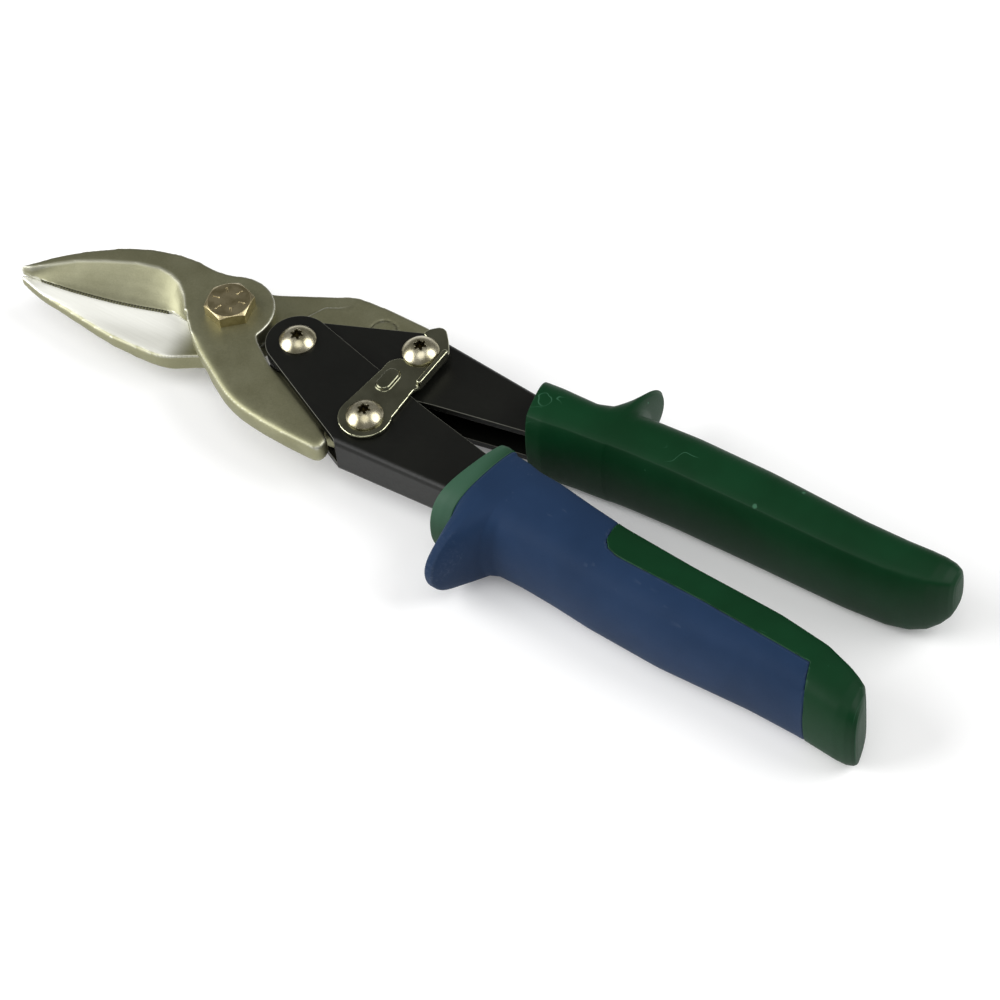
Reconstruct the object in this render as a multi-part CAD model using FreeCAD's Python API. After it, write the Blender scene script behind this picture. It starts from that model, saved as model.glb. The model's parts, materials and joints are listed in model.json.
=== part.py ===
import FreeCAD, Part
import math
import os

# Aviation snips, latched shut. Millimetres.
# +X runs back along the tool to the handle ends, +Y is the far handle's side, +Z is up.
# The origin is on the main pivot's axis, on the surface that the snips lie on.
V = FreeCAD.Vector
UP = V(0, 0, 1)

# Linkage: four pivots that form a kite, seen in plan
handle_pivot_x = 20.7
jaw_pin_x = 49.4
jaw_pin_y = 11.65

# Heights, from the surface that the snips lie on
shear_z = 12.0
shear_gap = 0.05
jaw_thickness = 5.0
tip_thickness = 2.7
plate_thickness = 1.8
plate_gap = 0.1
grip_height = 24.0

# Fits and clearances
running_fit = 0.05
open_pivot_play = 0.35
side_gap = 0.3
rotor_gap = 0.5
jaw_clearance = 0.5
spring_clearance = 0.35

# Jaws
hub_radius = 11.0
tongue_radius = 6.2
tail_end_gap = 4.4
tail_outer_y = 25.2
low_tail_outer_y = 22.4
tail_drop = 1.4
tail_rise = 1.5
deep_tail_radius = 18.5
ramp_start_x = 18.0
ramp_length = 5.5
tip_x = -56.4
tip_y = -14.9
tip_round = 0.5
edge_land = 0.6
wedge_bow = 1.3
stamp_radius = 3.6
stamp_line = 0.7
stamp_depth = 0.3

# Main pivot bolt and its lock nut
bolt_diameter = 6.4
hex_across_flats = 11.0
bolt_turn = 44.5
bolt_head_height = 3.4
grade_mark_length = 1.7
grade_mark_width = 0.45
grade_mark_depth = 0.2
grade_mark_start = 2.5
washer_diameter = 13.0
washer_thickness = 0.9
insert_height = 1.6
nut_rim_height = 0.3
chamfer_angle = 30

# Handle pivot screw and the two jaw pin screws
screw_diameter = 5.0
screw_head_diameter = 9.2
screw_dome = 2.2
screw_rim = 0.5
screw_nut_flats = 8.0
screw_nut_height = 2.6
recess_depth = 1.5
recess_radius = 1.25
lobe_radius = 0.42
thread_end = 0.3
sleeve_wall = 1.1
latch_washer_wall = 1.6

# Latch
latch_thickness = 1.25
latch_lip = 1.6
latch_slot_play = 0.35
latch_lobe_radius = 6.6
latch_half_width = 6.4
pip_height = 0.9
pip_round = 0.7
latch_way_out = 8

# Pressed channels
ear_radius = 8.0
channel_front_gap = 2.0
channel_end_depth = 17.0
inner_edge_slope = 14
outer_edge_slope = 24
bend_radius = 1.7

# Return spring
spring_wire = 1.4
leg_length = 17.0
leg_inset = 0.1

# Grips
grip_front_x = 81.5
grip_end_x = 195.0
collar_length = 6.0
cover_depth = 2.2
grip_wall = 2.6
strip_start_x = 116.0
end_cap_length = 14.0

# Places and sizes that follow from those above
pivot = V(0, 0, 0)
handle_pivot = V(handle_pivot_x, 0, 0)
near_pin = V(jaw_pin_x, -jaw_pin_y, 0)
far_pin = V(jaw_pin_x, jaw_pin_y, 0)
bolt_radius = bolt_diameter / 2
screw_radius = screw_diameter / 2
head_radius = screw_head_diameter / 2
spring_inside_radius = screw_radius + running_fit + sleeve_wall + spring_clearance
jaw_top_z = shear_z + jaw_thickness
tail_end_x = jaw_pin_x - tail_end_gap
channel_front_x = tail_end_x + channel_front_gap
channel_end_x = grip_end_x - channel_end_depth
jaw_bottom_z = shear_z - jaw_thickness
channel_bottom_z = jaw_bottom_z - jaw_clearance
channel_top_z = shear_z + tail_rise + side_gap + 2 * plate_thickness + plate_gap
channel_height = channel_top_z - channel_bottom_z
near_channel_z = channel_bottom_z
far_channel_z = channel_bottom_z - plate_thickness - plate_gap
latch_bottom_z = channel_top_z + plate_gap / 2
latch_top_z = latch_bottom_z + latch_thickness
NEAR = -1
FAR = 1


def rounded_face(corners):
    """A flat face that looks up, whose corners are (x, y) or (x, y, radius)."""
    following = corners[1:] + corners[:1]
    area = sum(a[0] * b[1] - b[0] * a[1] for a, b in zip(corners, following))
    if area < 0:
        corners = corners[::-1]
    points = [V(c[0], c[1], 0) for c in corners]
    count = len(points)
    sides = [points[(i + 1) % count] - points[i] for i in range(count)]
    turns = [sides[i - 1].getAngle(sides[i]) for i in range(count)]
    reaches = [(c[2] if len(c) > 2 else 0) * math.tan(turn / 2) for c, turn in zip(corners, turns)]
    for i in range(count):
        # two roundings that meet on one side share its length
        j = (i + 1) % count
        wanted = reaches[i] + reaches[j]
        if wanted > sides[i].Length:
            share = sides[i].Length / wanted
            reaches[i] *= share
            reaches[j] *= share
    runs = []
    for i, point in enumerate(points):
        if reaches[i] < 1e-4:
            runs.append((point, None, point))
            continue
        back = V(sides[i - 1]).normalize()
        ahead = V(sides[i]).normalize()
        radius = reaches[i] / math.tan(turns[i] / 2)
        inward = (ahead - back).normalize()
        middle = point + inward * (radius / math.cos(turns[i] / 2) - radius)
        runs.append((point - back * reaches[i], middle, point + ahead * reaches[i]))
    edges = []
    for i, (start, middle, end) in enumerate(runs):
        if middle is not None:
            edges.append(Part.Arc(start, middle, end).toShape())
        next_start = runs[(i + 1) % count][0]
        if (next_start - end).Length > 1e-5:
            edges.append(Part.LineSegment(end, next_start).toShape())
    return Part.Face(Part.Wire(Part.__sortEdges__(edges)))


def slab(corners, low, high):
    face = rounded_face(corners)
    face.translate(V(0, 0, low))
    return face.extrude(V(0, 0, high - low))


def mirrored(corners, side):
    return [(c[0], side * c[1]) + tuple(c[2:]) for c in corners]


def rod(centre, radius, low, high):
    return Part.makeCylinder(radius, high - low, V(centre.x, centre.y, low))


def joined(first, *others):
    solid = first.fuse(list(others)).removeSplitter()
    return solid.Solids[0] if len(solid.Solids) == 1 else solid


def minus(solid, *tools):
    for tool in tools:
        solid = solid.cut(tool)
    return solid


def soften(solid, radius, wanted):
    """Round the edges that wanted() picks."""
    return solid.makeFillet(radius, [edge for edge in solid.Edges if wanted(edge)])


def level_edge(z):
    """Picks the edges that lie flat at height z."""
    def pick(edge):
        box = edge.BoundBox
        return abs(box.ZMin - z) < 1e-4 and abs(box.ZMax - z) < 1e-4
    return pick


def hexagon(centre, flats, low, high, turn=0.0):
    radius = flats / math.sqrt(3)
    corners = []
    for k in range(6):
        angle = math.radians(turn + 60 * k)
        corners.append((centre.x + radius * math.cos(angle), centre.y + radius * math.sin(angle)))
    return slab(corners, low, high)


def chamfer_cone(centre, flats, base, tip_up, height):
    """A cone that takes the corners off a hexagon's end face."""
    wide = flats / math.sqrt(3) + 0.6
    narrow = flats / 2 * 0.97
    drop = (wide - narrow) * math.tan(math.radians(chamfer_angle))
    if tip_up:
        body = rod(centre, wide, base, base + height - drop)
        top = Part.makeCone(wide, narrow, drop, V(centre.x, centre.y, base + height - drop))
        return body.fuse(top)
    body = rod(centre, wide, base + drop, base + height)
    bottom = Part.makeCone(narrow, wide, drop, V(centre.x, centre.y, base))
    return body.fuse(bottom)


# ---- jaws ----

# Outlines in plan of the jaws as they lie shut. The blades run off to -Y of the handles' axis.
upper_outer_edge = [(tip_x, tip_y, tip_round), (-47.0, -4.4, 40), (-33.5, 5.6, 40), (-20.0, 8.9, 30),
                    (-9.0, 8.3, 20)]
upper_cutting_edge = [(-14.6, -5.6, 0.8), (-28.0, -10.0, 120), (-42.0, -13.0, 60)]
lower_outer_edge = [(tip_x - 0.3, tip_y - 0.2, tip_round), (-46.0, -17.6, 50), (-24.0, -19.6, 50),
                    (-9.0, -18.6, 14)]
lower_cutting_edge = [(-15.0, -2.2, 0.8), (-28.0, -6.0, 120), (-42.0, -10.2, 60)]


def blade_wedge(stations, flat_z, away):
    """What is ground off a blade between its ridge and its cutting edge.

    Each station is (x, ridge y, edge y, ridge height above the flat face)."""
    wires = []
    beyond = 6.0
    for x, ridge_y, edge_y, rise in stations:
        step = (edge_y - ridge_y) / abs(edge_y - ridge_y)
        profile = []
        for share in (0.0, 0.12, 0.3, 0.55, 0.8, 1.0):
            y = ridge_y + (edge_y - ridge_y) * share
            sag = (1 - share) ** wedge_bow
            profile.append(V(x, y, flat_z + away * (edge_land + (rise - edge_land) * sag)))
        profile.append(V(x, edge_y + step * beyond, flat_z + away * edge_land))
        profile.append(V(x, edge_y + step * beyond, flat_z + away * (rise + beyond)))
        profile.append(V(x, ridge_y, flat_z + away * (rise + beyond)))
        wires.append(Part.makePolygon(profile + [profile[0]]))
    return Part.makeLoft(wires, True, True)


def taper_block(flat_z, away):
    """What is taken off a blade's back so that it thins towards the tip."""
    start_x = -14.0
    high = jaw_thickness + 4
    profile = [V(start_x, -40, flat_z + away * jaw_thickness),
               V(tip_x - 3, -40, flat_z + away * tip_thickness),
               V(tip_x - 3, -40, flat_z + away * high),
               V(start_x, -40, flat_z + away * high)]
    return Part.Face(Part.makePolygon(profile + [profile[0]])).extrude(V(0, 80, 0))


def upper_jaw():
    low = shear_z + shear_gap
    blade = slab(upper_outer_edge + [(-2, 10.8), (2, 0), (-9.4, -6.0, 2)] + upper_cutting_edge,
                 low, jaw_top_z)
    hub = rod(pivot, hub_radius, low, jaw_top_z)
    ear_line = [(tail_end_x, -20.6, 0.8), (18.2, -8.9, 4), (12.0, -5.0, 2)]
    outer_line = [(-10.3, -5.0), (-1.5, -13.6, 30), (17.0, -23.8, 30), (30.0, -tail_outer_y, 60),
                  (tail_end_x, -tail_outer_y, 1.5)]
    tail = slab(outer_line + ear_line + [(8, -1), (-2, -1)], low, jaw_top_z)
    deep = slab(outer_line + ear_line + [(8, -1), (-2, -1)], low - tail_drop, low)
    deep = deep.cut(rod(pivot, deep_tail_radius, low - 3, low + 1))
    tongue = jaw_tongue(NEAR, near_channel_z)
    body = joined(blade, hub, tail, deep, tongue)
    ridge = [(-58.5, -15.0, -16.6, 2.6), (-53.0, -13.3, -14.9, 2.9), (-48.0, -8.9, -14.1, 3.2),
             (-44.0, -5.8, -13.4, 3.4), (-38.0, -2.6, -12.3, 3.7), (-30.0, 0.9, -10.6, 4.1),
             (-24.0, 2.2, -8.7, 4.5), (-20.0, 1.9, -7.3, 4.7), (-16.5, 0.6, -6.2, 4.9),
             (-13.2, -2.0, -5.7, 5.0), (-10.4, -5.2, -6.0, 5.0)]
    body = minus(body, taper_block(low, 1), blade_wedge(ridge, low, 1),
                 rod(pivot, bolt_radius + running_fit, 0, 30),
                 rod(near_pin, screw_radius + running_fit, 0, 30))
    return biggest(body)


def jaw_tongue(side, channel_z):
    """The thick end of a jaw's tail, which lies between the plates of its handle."""
    low = channel_z + plate_thickness + side_gap
    high = channel_z + channel_height - plate_thickness - side_gap
    corners = [(15.0, 9.4), (21.0, 8.9, 3), (jaw_pin_x - 2.5, 5.35, 2), (jaw_pin_x, 8),
               (tail_end_x, 18.4, 2), (24.0, 18.4, 4), (17.5, 15.0)]
    tongue = slab(mirrored(corners, side), low, high)
    lobe = rod(V(jaw_pin_x, side * jaw_pin_y, 0), tongue_radius, low, high)
    tongue = tongue.fuse(lobe)
    return minus(tongue, rod(handle_pivot, ear_radius + rotor_gap, low - 1, high + 1),
                 rod(pivot, deep_tail_radius, low - 1, high + 1))


def biggest(shape):
    """The main solid, without slivers that a cut has left loose."""
    return max(shape.Solids, key=lambda solid: solid.Volume)


def lower_jaw():
    high = shear_z
    blade = slab(lower_outer_edge + [(-2.0, -13.9, 6), (6, -9.2), (2, 0)] + lower_cutting_edge,
                 jaw_bottom_z, high)
    hub = rod(pivot, hub_radius, jaw_bottom_z, high)
    outer_line = [(-4.0, 10.2), (4.4, 13.2, 12), (19.6, 21.4, 8), (30.0, low_tail_outer_y, 60),
                  (tail_end_x, low_tail_outer_y, 1.5)]
    ear_line = [(tail_end_x, 18.0, 0.8), (20.0, 8.9, 4), (12.0, 5.0, 2)]
    plan = outer_line + ear_line + [(8, 1), (-2, 1)]
    tail = slab(plan, jaw_bottom_z, high)
    ramp_end_x = ramp_start_x + ramp_length
    ramp = [V(ramp_start_x, 0, high), V(ramp_end_x, 0, high + tail_rise),
            V(tail_end_x, 0, high + tail_rise), V(tail_end_x, 0, high)]
    raised = Part.Face(Part.makePolygon(ramp + [ramp[0]])).extrude(V(0, 40, 0))
    clear_of_handle = [(ramp_start_x - 2, 30), (ramp_start_x + 3, 10.2), (ramp_end_x + 8, 8.6),
                       (tail_end_x - 4, 7), (tail_end_x, 15), (tail_end_x, 30)]
    raised = raised.common(slab(plan, high - 1, high + tail_rise + 1))
    raised = raised.common(slab(clear_of_handle, high - 1, high + tail_rise + 1))
    tongue = jaw_tongue(FAR, far_channel_z)
    body = joined(blade, hub, tail, raised, tongue)
    ridge = [(-58.5, -15.4, -14.2, 2.5), (-52.0, -15.0, -13.2, 2.8), (-45.0, -15.6, -11.0, 3.2),
             (-38.0, -15.4, -9.0, 3.6), (-30.0, -14.0, -6.6, 4.1), (-22.0, -11.0, -4.2, 4.6),
             (-17.0, -7.4, -2.8, 4.9), (-13.0, -3.4, -1.6, 5.0)]
    ring_centre = V(34.6, 16.0, 0)
    ring_top = high + tail_rise
    ring = rod(ring_centre, stamp_radius, ring_top - stamp_depth, ring_top + 1)
    ring = ring.cut(rod(ring_centre, stamp_radius - stamp_line, ring_top - 1, ring_top + 2))
    body = minus(body, taper_block(high, -1), blade_wedge(ridge, high, -1),
                 rod(pivot, bolt_radius + running_fit, 0, 30),
                 rod(far_pin, screw_radius + open_pivot_play, 0, 30), ring)
    return biggest(body)


# ---- main pivot ----

def pivot_bolt():
    top = jaw_top_z + bolt_head_height
    head = hexagon(pivot, hex_across_flats, jaw_top_z, top, bolt_turn)
    head = head.common(chamfer_cone(pivot, hex_across_flats, jaw_top_z, True, bolt_head_height))
    shank = rod(pivot, bolt_radius, 0, jaw_top_z)
    bolt = joined(head, shank)
    marks = []
    for k in range(6):
        mark = Part.makeBox(grade_mark_length, grade_mark_width, 1,
                            V(grade_mark_start, -grade_mark_width / 2, top - grade_mark_depth))
        mark.rotate(V(), UP, bolt_turn + 30 + 60 * k)
        marks.append(mark)
    return minus(bolt, *marks)


def washer_z():
    return jaw_bottom_z - plate_gap / 2 - washer_thickness


def pivot_washer():
    low = washer_z()
    disc = rod(pivot, washer_diameter / 2, low, low + washer_thickness)
    return disc.cut(rod(pivot, bolt_radius + running_fit, low - 1, low + 2))


def pivot_nut():
    high = washer_z()
    body = hexagon(pivot, hex_across_flats, insert_height, high, 20)
    body = body.common(chamfer_cone(pivot, hex_across_flats, insert_height, True,
                                    high - insert_height))
    collar = rod(pivot, hex_across_flats * 0.46, 0, insert_height)
    collar = collar.cut(rod(pivot, hex_across_flats * 0.40, -1, insert_height))
    rim = rod(pivot, hex_across_flats * 0.46, 0, nut_rim_height)
    rim = rim.cut(rod(pivot, hex_across_flats * 0.34, -1, 1))
    nut = joined(body, collar, rim)
    return nut.cut(rod(pivot, bolt_radius, -1, high + 1))


def pivot_nut_insert():
    ring = rod(pivot, hex_across_flats * 0.40, nut_rim_height, insert_height)
    return ring.cut(rod(pivot, bolt_radius, -1, insert_height + 1))


# ---- pressed channels ----

def grip_wall_points(rows, inset_inner, inset_outer):
    """Points of a line that stays inside a grip, as (x, y) on the inner and on the outer side."""
    inner = []
    outer = []
    for along, inner_y, outer_y, draw in rows:
        x = grip_front_x + along * (grip_end_x - grip_front_x) / rows[-1][0]
        if grip_front_x + 15 < x < channel_end_x - 15:
            inner.append((x, inner_y + inset_inner))
            outer.append((x, outer_y - inset_outer))
    return inner, outer


def channel_outer_line(handle, inset):
    """The spine's outer face, or a line inset from it, from the front to the end in the grip."""
    inner, outer = grip_wall_points(handle["rows"], grip_wall, grip_wall)
    line = [(channel_front_x, handle["spine_front_y"]), (grip_front_x + 0.5, handle["spine_grip_y"])]
    line += outer + [(channel_end_x, outer[-1][1] - 0.4)]
    return [(x, y - inset) for x, y in line]


def channel_plan(handle):
    """Outline of a handle's plates, from the ear round the handle pivot to the end in the grip."""
    inner_slope = math.radians(inner_edge_slope)
    outer_slope = math.radians(outer_edge_slope)
    front = handle_pivot_x - ear_radius
    inner_corner = -ear_radius / math.cos(inner_slope) - ear_radius * math.tan(inner_slope)
    outer_corner = ear_radius / math.cos(outer_slope) - ear_radius * math.tan(outer_slope)
    inner, outer = grip_wall_points(handle["rows"], grip_wall, grip_wall)
    outer_line = channel_outer_line(handle, 0)
    corners = [(front, inner_corner, ear_radius), (60.0, 1.5, 60), (grip_front_x + 2.5, 6.2, 20)]
    corners += inner + [(channel_end_x, inner[-1][1] + 1.5, 4)] + outer_line[::-1]
    corners += [(channel_front_x - 0.6, handle["spine_front_y"] - 0.7),
                (front, outer_corner, ear_radius)]
    return mirrored(corners, handle["side"])


def channel(handle, base):
    side = handle["side"]
    high = base + channel_height
    body = slab(channel_plan(handle), base, high)
    outer_limit = min(y for x, y in channel_outer_line(handle, 0)) - 0.5

    def bend(edge):
        box = edge.BoundBox
        flat = abs(box.ZMin - box.ZMax) < 1e-4
        outer = min(abs(box.YMin), abs(box.YMax)) > outer_limit
        along = channel_front_x + 1 < box.XMax < channel_end_x - 1
        return flat and outer and along
    body = soften(body, bend_radius, bend)
    low_in = base + plate_thickness
    high_in = high - plate_thickness
    inside = channel_outer_line(handle, plate_thickness)
    hollow = [(0, -30), (channel_end_x + 9, -30), (channel_end_x + 9, inside[-1][1])]
    hollow += inside[::-1] + [(channel_front_x - 0.05, 30), (0, 30)]
    body = body.cut(slab(mirrored(hollow, side), low_in, high_in))
    pin = near_pin if side == NEAR else far_pin
    pivot_fit = 0 if side == NEAR else running_fit
    body = minus(body, rod(handle_pivot, screw_radius + pivot_fit, 0, 30),
                 rod(pin, screw_radius, 0, 30))
    return biggest(body)


# ---- screws and nuts at the three riveted pivots ----

def screw(centre, seat_z, nut_z):
    """A domed screw with a six-lobed recess: its head sits on seat_z and its nut ends at nut_z."""
    sphere = (head_radius ** 2 + screw_dome ** 2) / (2 * screw_dome)
    dome = Part.makeSphere(sphere, V(centre.x, centre.y, seat_z + screw_rim + screw_dome - sphere))
    head = rod(centre, head_radius, seat_z, seat_z + screw_rim + screw_dome + 1).common(dome)
    shank = rod(centre, screw_radius, nut_z + thread_end, seat_z + screw_rim / 2)
    body = joined(head, shank)
    depth_z = seat_z + screw_rim + screw_dome - recess_depth
    lobes = [rod(centre, recess_radius - 0.1, depth_z, seat_z + 9)]
    for k in range(6):
        angle = math.radians(60 * k + 15)
        place = centre + V(math.cos(angle), math.sin(angle), 0) * recess_radius
        lobes.append(rod(place, lobe_radius, depth_z, seat_z + 9))
    return minus(body, *lobes)


def screw_nut(centre, high):
    low = high - screw_nut_height
    nut = hexagon(centre, screw_nut_flats, low, high, 10)
    nut = nut.common(chamfer_cone(centre, screw_nut_flats, low, False, screw_nut_height))
    return nut.cut(rod(centre, screw_radius, low - 1, high + 1))


def sleeve(centre, low, high, wall):
    tube = rod(centre, screw_radius + running_fit + wall, low, high)
    return tube.cut(rod(centre, screw_radius + running_fit, low - 1, high + 1))


# ---- latch ----

def latch():
    """A flat hook that turns on the near jaw pin and holds the far one."""
    catch = screw_radius + latch_slot_play
    x = jaw_pin_x
    y = jaw_pin_y
    right = x + latch_half_width
    plan = [(x - 6.5, -y + 0.5, 2), (x - 5.2, 1.5, 6), (x - 5.0, 5.6, 3), (x - 3.0, 7.6, 2),
            (x + 1.5, 7.8, 1), (x + 3.0, y, 1), (x + 1.0, 15.3, 1), (x - 3.2, 16.9, 0.8),
            (x - 2.0, 19.2, 2), (x + 0.5, 21.6, 2.2), (x + 4.0, 17.8, 6), (right, 14.6, 1.5),
            (right, 2.4, 0.8), (right - 0.9, 1.0, 0.8), (right - 0.5, -8.0, 4), (x + 5.0, -y - 2, 2),
            (x, -y - 3), (x - 5.6, -y - 3, 3)]
    plate = slab(plan, latch_bottom_z, latch_top_z)
    lobe = rod(near_pin, latch_lobe_radius, latch_bottom_z, latch_top_z)
    lip = slab([(right - latch_thickness, 2.4, 0.3), (right, 2.4, 0.3), (right, 14.4, 0.3),
                (right - latch_thickness, 14.4, 0.3)], latch_bottom_z, latch_top_z + latch_lip)
    pip = slab([(x - 3.6, -3.4, 1.9), (x + 0.4, -3.4, 1.9), (x + 0.4, 3.8, 1.9), (x - 3.6, 3.8, 1.9)],
               latch_top_z - 0.2, latch_top_z + pip_height)
    pip = soften(pip, pip_round, level_edge(latch_top_z + pip_height))
    body = joined(plate, lobe, lip, pip)
    slot = [rod(far_pin, catch, 0, 30)]
    leave = V(-1, 0.51, 0).normalize()
    for k in range(1, latch_way_out + 1):
        slot.append(rod(far_pin + leave * k, catch, 0, 30))
    hole = rod(near_pin, screw_radius + running_fit, 0, 30)
    return biggest(minus(body, hole, *slot))


# ---- return spring ----

def spring():
    """Envelope of the coil round the handle pivot, with the two legs that spread the jaw tails."""
    low = near_channel_z + plate_thickness + side_gap
    high = channel_top_z - 2 * plate_thickness - plate_gap - side_gap
    outer = spring_inside_radius + spring_wire
    coil = rod(handle_pivot, outer, low, high)
    coil = coil.cut(rod(handle_pivot, spring_inside_radius, low - 1, high + 1))
    legs = []
    for side, z in ((NEAR, low + spring_wire), (FAR, high - spring_wire)):
        start = V(handle_pivot_x, side * (spring_inside_radius + spring_wire / 2), z)
        legs.append(Part.makeCylinder(spring_wire / 2 - leg_inset, leg_length, start, V(1, 0, 0)))
    return joined(coil, *legs)


# ---- grips ----

def grip_section(x, inner_y, outer_y, low, high, side):
    """One closed cross-section of a grip, rounder on the side that the palm holds."""
    middle_y = (inner_y + outer_y) / 2
    half_y = (outer_y - inner_y) / 2
    middle_z = (low + high) / 2
    half_z = (high - low) / 2
    points = []
    for k in range(16):
        angle = 2 * math.pi * (k + 0.5) / 16
        across = math.cos(angle)
        along = math.sin(angle)
        power = 0.62 if across > 0 else 0.5
        y = middle_y + half_y * math.copysign(abs(across) ** power, across)
        z = middle_z + half_z * math.copysign(abs(along) ** 0.55, along)
        points.append(V(x, side * y, z))
    curve = Part.BSplineCurve()
    curve.interpolate(points, True)
    return Part.Wire(curve.toShape())


# Each row: distance from the grip's front, inner side and outer side from the handles' axis,
# and how far the grip draws in at top and bottom.
near_rows = [(0.0, 4.6, 23.6, 2.2), (7.0, 4.6, 25.2, 0.6), (22.0, 6.4, 25.2, 0.2),
             (42.0, 9.6, 28.3, 0.0), (62.0, 11.0, 29.4, 0.0), (86.0, 12.0, 28.2, 0.6),
             (102.0, 14.4, 28.6, 1.0), (113.5, 18.2, 29.3, 2.4)]
far_rows = [(0.0, 3.6, 19.6, 2.2), (7.0, 3.6, 20.0, 0.6), (22.0, 5.4, 21.0, 0.2),
            (42.0, 7.0, 22.8, 0.0), (62.0, 7.4, 23.0, 0.0), (88.0, 7.8, 21.8, 0.4),
            (104.0, 9.8, 22.8, 1.0), (113.5, 13.4, 21.6, 3.6)]
near_handle = {"side": NEAR, "rows": near_rows, "spine_front_y": 21.3, "spine_grip_y": 19.4}
far_handle = {"side": FAR, "rows": far_rows, "spine_front_y": 20.4, "spine_grip_y": 17.4}
near_guard = [(84.0, 18.0), (83.2, 30.0, 5), (84.6, 38.4, 4.5), (92.4, 38.2, 4.5), (94.5, 28.5, 4),
              (104.0, 22.0)]
far_guard = [(99.0, 16.0), (100.4, 24.0, 3), (101.6, 32.4, 2.2), (106.2, 32.4, 2.2),
             (110.8, 24.0, 3), (116.0, 17.0)]


def grip_body(side, rows, guard, guard_draw):
    length = grip_end_x - grip_front_x
    stretch = length / rows[-1][0]
    sections = []
    for along, inner_y, outer_y, draw in rows:
        sections.append(grip_section(grip_front_x + along * stretch, inner_y, outer_y,
                                     draw, grip_height - draw, side))
    body = Part.makeLoft(sections, True, False)
    lobe = slab(mirrored(guard, side), guard_draw, grip_height - guard_draw)
    room = Part.makeBox(300, 120, grip_height, V(0, -60, 0))
    return biggest(joined(body, lobe).common(room))


def near_grip_whole():
    return grip_body(NEAR, near_rows, near_guard, 4.5)


def cover_zone():
    """The room that the soft cover takes from the hard core: a skin from the collar to the cap."""
    front = grip_front_x + collar_length
    back = grip_end_x - end_cap_length
    inner = [(front, -2), (strip_start_x, -2), (strip_start_x + 6, -17.0, 6), (back, -18.5),
             (back + 6, -45), (front, -45)]
    zone = slab(inner, -2, grip_height + 2)
    length = grip_end_x - grip_front_x
    stretch = length / near_rows[-1][0]
    sections = []
    for along, inner_y, outer_y, draw in near_rows:
        sections.append(grip_section(grip_front_x + along * stretch, inner_y + cover_depth,
                                     outer_y - cover_depth, draw + cover_depth,
                                     grip_height - draw - cover_depth, NEAR))
    return zone.cut(Part.makeLoft(sections, True, False))


def near_grip_core(handle):
    return biggest(near_grip_whole().cut(cover_zone()).cut(handle))


def near_grip_cover(handle):
    return biggest(near_grip_whole().common(cover_zone()).cut(handle))


def far_grip(handle):
    return biggest(grip_body(FAR, far_rows, far_guard, 6.5).cut(handle))


def build():
    near_channel = channel(near_handle, near_channel_z)
    far_channel = channel(far_handle, far_channel_z)
    far_top = far_channel_z + channel_height
    yield "near_handle_channel", near_channel
    yield "far_handle_channel", far_channel
    yield "upper_jaw", upper_jaw()
    yield "lower_jaw", lower_jaw()
    yield "pivot_bolt", pivot_bolt()
    yield "pivot_washer", pivot_washer()
    yield "pivot_nut", pivot_nut()
    yield "pivot_nut_insert", pivot_nut_insert()
    yield "handle_pivot_screw", screw(handle_pivot, channel_top_z, far_channel_z - screw_nut_height)
    yield "near_jaw_screw", screw(near_pin, latch_top_z + plate_gap / 2,
                                  near_channel_z - screw_nut_height)
    yield "far_jaw_screw", screw(far_pin, latch_top_z + plate_gap / 2,
                                 far_channel_z - screw_nut_height)
    yield "handle_pivot_nut", screw_nut(handle_pivot, far_channel_z - plate_gap / 2)
    yield "near_jaw_nut", screw_nut(near_pin, near_channel_z)
    yield "far_jaw_nut", screw_nut(far_pin, far_channel_z)
    yield "handle_pivot_sleeve", sleeve(handle_pivot, near_channel_z + plate_thickness,
                                        far_top - plate_thickness - plate_gap, sleeve_wall)
    yield "latch_washer", sleeve(far_pin, far_top, channel_top_z - plate_gap, latch_washer_wall)
    yield "latch", latch()
    yield "opening_spring", spring()
    yield "near_grip_core", near_grip_core(near_channel)
    yield "near_grip_cover", near_grip_cover(near_channel)
    yield "far_grip", far_grip(far_channel)


os.makedirs("parts", exist_ok=True)
for name, shape in build():
    print("%-22s solids %d valid %s volume %9.1f" % (name, len(shape.Solids), shape.isValid(),
                                                    shape.Volume))
    shape.exportStep("parts/%s.step" % name)
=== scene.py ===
import bpy, bmesh, json, math
import numpy as np
from mathutils import Matrix, Vector


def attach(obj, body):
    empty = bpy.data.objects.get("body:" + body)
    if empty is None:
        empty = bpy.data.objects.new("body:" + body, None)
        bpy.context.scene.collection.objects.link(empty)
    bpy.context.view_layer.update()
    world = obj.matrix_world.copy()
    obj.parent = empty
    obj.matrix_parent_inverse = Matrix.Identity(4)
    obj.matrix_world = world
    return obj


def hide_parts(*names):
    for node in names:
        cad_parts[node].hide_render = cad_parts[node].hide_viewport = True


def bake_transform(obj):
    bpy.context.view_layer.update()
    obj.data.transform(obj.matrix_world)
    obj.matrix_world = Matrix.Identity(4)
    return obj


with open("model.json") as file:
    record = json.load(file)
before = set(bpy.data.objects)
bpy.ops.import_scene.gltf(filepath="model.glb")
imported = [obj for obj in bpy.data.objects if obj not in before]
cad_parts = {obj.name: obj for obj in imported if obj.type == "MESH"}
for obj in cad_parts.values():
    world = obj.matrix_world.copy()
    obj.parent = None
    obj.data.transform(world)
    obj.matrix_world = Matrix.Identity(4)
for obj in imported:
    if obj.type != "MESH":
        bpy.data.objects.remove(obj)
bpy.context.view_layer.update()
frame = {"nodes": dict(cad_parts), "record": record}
nodes = frame["nodes"]
scene = bpy.context.scene
mm = 0.001


# camera, floor and light

cameraPlan = {
    "target": (0.0884, -0.0120, 0.0120),
    "azimuth": 40.03,  # degrees, 0 looks along +Y
    "elevation": 51.20,
    "roll": -6.99,
    "distance": 0.9453,
    "lens": 144.0,
    "sensorWidth": 36.0,
    "clipStart": 0.01,
}

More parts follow.
